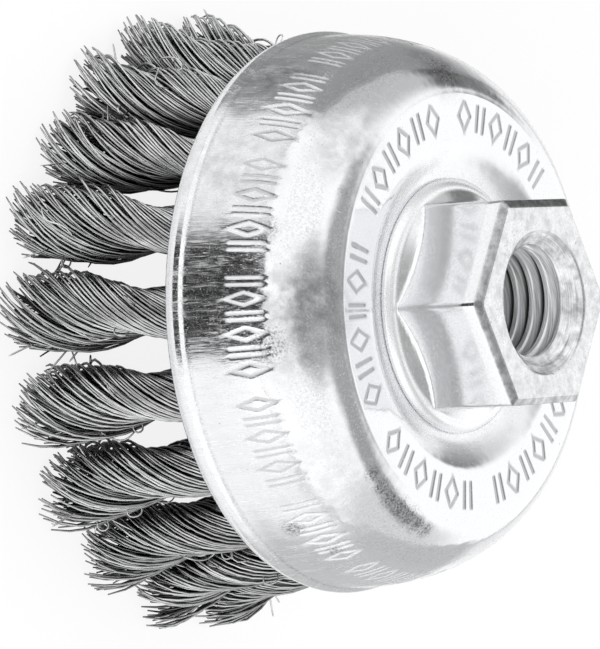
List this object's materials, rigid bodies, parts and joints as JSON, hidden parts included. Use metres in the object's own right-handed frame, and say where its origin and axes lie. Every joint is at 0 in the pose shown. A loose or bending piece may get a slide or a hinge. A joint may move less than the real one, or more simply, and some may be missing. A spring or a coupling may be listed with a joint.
{
  "type": "wire cup brush",
  "caption": "Knotted wire cup brush: a pressed steel cup with a threaded hexagon nut and a ring of twisted wire knots on a holder plate.",
  "frame": {"origin": "on the brush's axis, in the plane of the wire tips that it stands on", "axes": "+Z along the brush's axis, from the wire tips to the nut; one corner of the nut points to -Y"},
  "size_m": [0.0698, 0.0708, 0.05],
  "materials": {
    "cup_steel": "bright plated, lightly scratched",
    "nut_steel": "plated, satin",
    "plate_steel": "plain pressed steel",
    "wire_steel": "drawn wire, bright"
  },
  "bodies": {
    "root": {"cup": "cup_steel", "threaded_nut": "nut_steel", "knot_plate": "plate_steel", "knot_01": "wire_steel", "knot_02": "wire_steel", "knot_03": "wire_steel", "knot_04": "wire_steel", "knot_05": "wire_steel", "knot_06": "wire_steel", "knot_07": "wire_steel", "knot_08": "wire_steel", "knot_09": "wire_steel", "knot_10": "wire_steel", "knot_11": "wire_steel", "knot_12": "wire_steel", "knot_13": "wire_steel", "knot_14": "wire_steel", "knot_15": "wire_steel", "knot_16": "wire_steel", "knot_17": "wire_steel", "knot_18": "wire_steel"}
  },
  "joints": []
}
